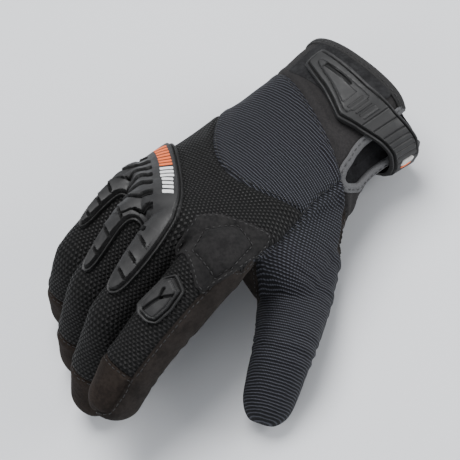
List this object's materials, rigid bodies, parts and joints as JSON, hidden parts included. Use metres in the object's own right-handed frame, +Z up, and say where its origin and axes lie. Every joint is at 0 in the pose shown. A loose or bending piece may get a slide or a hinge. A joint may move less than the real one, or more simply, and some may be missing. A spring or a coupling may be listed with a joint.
{
  "type": "riding glove",
  "caption": "Short-cuff right-hand riding glove with moulded knuckle guard, jointed fingers and thumb, notched cuff and hook-and-loop closing strap.",
  "frame": {"origin": "middle of the footprint on the ground, under the glove as it lies palm down", "axes": "+Y along the hand toward the fingertips, +Z up out of the back of the hand, thumb on the -X side (right hand)"},
  "size_m": [0.1424, 0.231, 0.089],
  "materials": {
    "rib_knit": "black ribbed stretch knit with pale rib lines",
    "air_mesh": "black knitted air mesh with rows of small oval holes",
    "suede": "brown-black synthetic suede with a short nap",
    "web_suede": "grey-black synthetic suede",
    "foam": "dark foam padding",
    "guard_rubber": "semi-gloss moulded thermoplastic rubber",
    "strap_rubber": "satin moulded thermoplastic rubber",
    "neoprene": "smooth dark neoprene with a fine jersey face",
    "binding_tape": "grey woven binding tape",
    "orange_print": "raised orange rubber print",
    "white_print": "raised white rubber print",
    "woven_label": "plain woven label",
    "elastic": "gathered black elastic",
    "hook_and_loop": "black hook and loop tape",
    "lining": "thin black brushed lining"
  },
  "bodies": {
    "hand": {"back_rib_panel": "rib_knit", "back_mesh_panel": "air_mesh", "palm_panel": "suede", "thumb_base_rib": "rib_knit", "thumb_base_palm": "suede", "web_patch": "web_suede", "web_foam": "foam", "palm_patch": "suede", "heel_pad": "suede", "heel_pad_foam": "foam", "knuckle_foam": "foam", "knuckle_guard": "guard_rubber", "guard_stripe_orange": "orange_print", "guard_stripe_white": "white_print", "cuff_back_panel": "neoprene", "cuff_palm_panel": "suede", "cuff_binding": "binding_tape", "notch_binding": "binding_tape", "wrist_elastic": "elastic", "loop_patch": "hook_and_loop", "back_lining": "lining", "palm_lining": "lining", "care_label": "woven_label", "strap_root": "neoprene", "strap_label": "woven_label"},
    "strap_middle": {"strap_band": "neoprene", "strap_band_grip": "strap_rubber"},
    "strap_end": {"strap_tip": "neoprene", "strap_tip_grip": "strap_rubber", "hook_patch": "hook_and_loop"},
    "thumb_root": {"thumb_root_back": "rib_knit", "thumb_root_palm": "suede"},
    "thumb_tip": {"thumb_tip_back": "rib_knit", "thumb_tip_palm": "suede"},
    "index_root": {"index_root_back": "air_mesh", "index_root_palm": "suede", "index_guard": "guard_rubber"},
    "index_middle": {"index_mid_back": "air_mesh", "index_mid_palm": "suede"},
    "index_tip": {"index_tip_back": "suede", "index_tip_palm": "suede"},
    "middle_root": {"middle_root_back": "air_mesh", "middle_root_palm": "suede", "middle_prong": "guard_rubber"},
    "middle_middle": {"middle_mid_back": "air_mesh", "middle_mid_palm": "suede"},
    "middle_tip": {"middle_tip": "suede"},
    "ring_root": {"ring_root_back": "air_mesh", "ring_root_palm": "suede", "ring_prong": "guard_rubber"},
    "ring_middle": {"ring_mid_back": "air_mesh", "ring_mid_palm": "suede"},
    "ring_tip": {"ring_tip": "suede"},
    "little_root": {"little_root_back": "air_mesh", "little_root_palm": "suede", "little_prong": "guard_rubber"},
    "little_middle": {"little_mid_back": "air_mesh", "little_mid_palm": "suede"},
    "little_tip": {"little_tip": "suede"}
  },
  "joints": [
    {"name": "index_knuckle", "type": "hinge", "parent": "hand", "child": "index_root", "pos_m": [-0.01498, 0.02572, 0.07103], "axis": [-1, 0, 0], "range_deg": [-26, 42]},
    {"name": "index_middle_joint", "type": "hinge", "parent": "index_root", "child": "index_middle", "pos_m": [-0.01498, 0.06348, 0.06127], "axis": [-1, 0, 0], "range_deg": [-6, 50]},
    {"name": "index_end_joint", "type": "hinge", "parent": "index_middle", "child": "index_tip", "pos_m": [-0.01498, 0.08674, 0.05211], "axis": [-1, 0, 0], "range_deg": [-12, 30]},
    {"name": "middle_knuckle", "type": "hinge", "parent": "hand", "child": "middle_root", "pos_m": [0.00952, 0.02766, 0.06854], "axis": [-1, 0, 0], "range_deg": [-26, 42]},
    {"name": "middle_middle_joint", "type": "hinge", "parent": "middle_root", "child": "middle_middle", "pos_m": [0.00952, 0.07584, 0.05518], "axis": [-1, 0, 0], "range_deg": [-30, 50]},
    {"name": "middle_end_joint", "type": "hinge", "parent": "middle_middle", "child": "middle_tip", "pos_m": [0.00952, 0.09638, 0.03196], "axis": [-1, 0, 0], "range_deg": [-12, 30]},
    {"name": "ring_knuckle", "type": "hinge", "parent": "hand", "child": "ring_root", "pos_m": [0.03402, 0.02684, 0.06188], "axis": [-1, 0, 0], "range_deg": [-26, 42]},
    {"name": "ring_middle_joint", "type": "hinge", "parent": "ring_root", "child": "ring_middle", "pos_m": [0.03402, 0.0719, 0.04853], "axis": [-1, 0, 0], "range_deg": [-30, 50]},
    {"name": "ring_end_joint", "type": "hinge", "parent": "ring_middle", "child": "ring_tip", "pos_m": [0.03402, 0.08871, 0.0274], "axis": [-1, 0, 0], "range_deg": [-12, 30]},
    {"name": "little_knuckle", "type": "hinge", "parent": "hand", "child": "little_root", "pos_m": [0.05852, 0.02236, 0.04757], "axis": [-1, 0, 0], "range_deg": [-26, 42]},
    {"name": "little_middle_joint", "type": "hinge", "parent": "little_root", "child": "little_middle", "pos_m": [0.05852, 0.06499, 0.04195], "axis": [-1, 0, 0], "range_deg": [-30, 50]},
    {"name": "little_end_joint", "type": "hinge", "parent": "little_middle", "child": "little_tip", "pos_m": [0.05852, 0.07748, 0.02507], "axis": [-1, 0, 0], "range_deg": [-12, 30]},
    {"name": "thumb_knuckle", "type": "hinge", "parent": "hand", "child": "thumb_root", "pos_m": [-0.03123, 0.00042, 0.01964], "axis": [-0.7389, -0.51, -0.4404], "range_deg": [-15, 25]},
    {"name": "thumb_end_joint", "type": "hinge", "parent": "thumb_root", "child": "thumb_tip", "pos_m": [-0.05223, 0.02513, 0.02627], "axis": [-0.7389, -0.51, -0.4404], "range_deg": [-30, 35]},
    {"name": "strap_root_fold", "type": "hinge", "parent": "hand", "child": "strap_middle", "pos_m": [-0.01923, -0.08558, 0.01791], "axis": [-0.0806, -0.9615, -0.2629], "range_deg": [0, 95]},
    {"name": "strap_tip_fold", "type": "hinge", "parent": "strap_middle", "child": "strap_end", "pos_m": [-0.01206, -0.09066, 0.05468], "axis": [-0.0756, -0.9815, -0.1757], "range_deg": [0, 65]}
  ]
}
